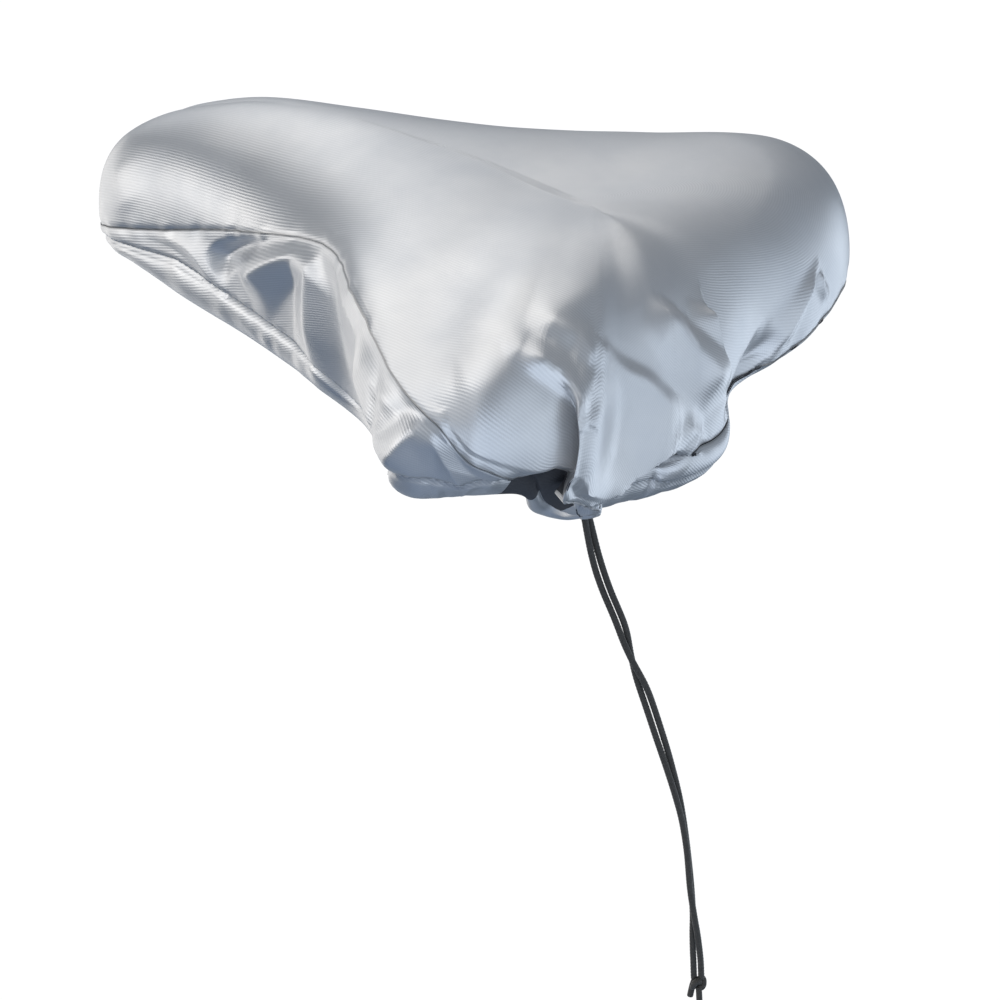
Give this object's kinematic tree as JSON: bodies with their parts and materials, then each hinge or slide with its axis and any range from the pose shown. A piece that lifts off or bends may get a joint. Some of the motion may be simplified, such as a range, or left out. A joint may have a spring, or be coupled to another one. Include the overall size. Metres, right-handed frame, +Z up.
{
  "type": "saddle cover",
  "caption": "Silver coated-cloth rain cover that drapes over a bicycle saddle, with a seamed skirt drawn in by a drawstring hem and a knotted cord hanging at the rear.",
  "frame": {"origin": "under the middle of the top, where the cloth rests on the saddle", "axes": "+X to the tail, +Y to the rider's right, +Z up"},
  "size_m": [0.297, 0.2315, 0.2935],
  "materials": {
    "silver_cloth": "fine ribbed weave with a silvery water-repellent coating, semi-gloss",
    "black_cord": "braided, matt with a slight sheen"
  },
  "bodies": {
    "root": {"top_panel": "silver_cloth", "skirt": "silver_cloth", "cord_strand_left": "black_cord", "cord_strand_right": "black_cord", "cord_knot": "black_cord"}
  },
  "joints": []
}
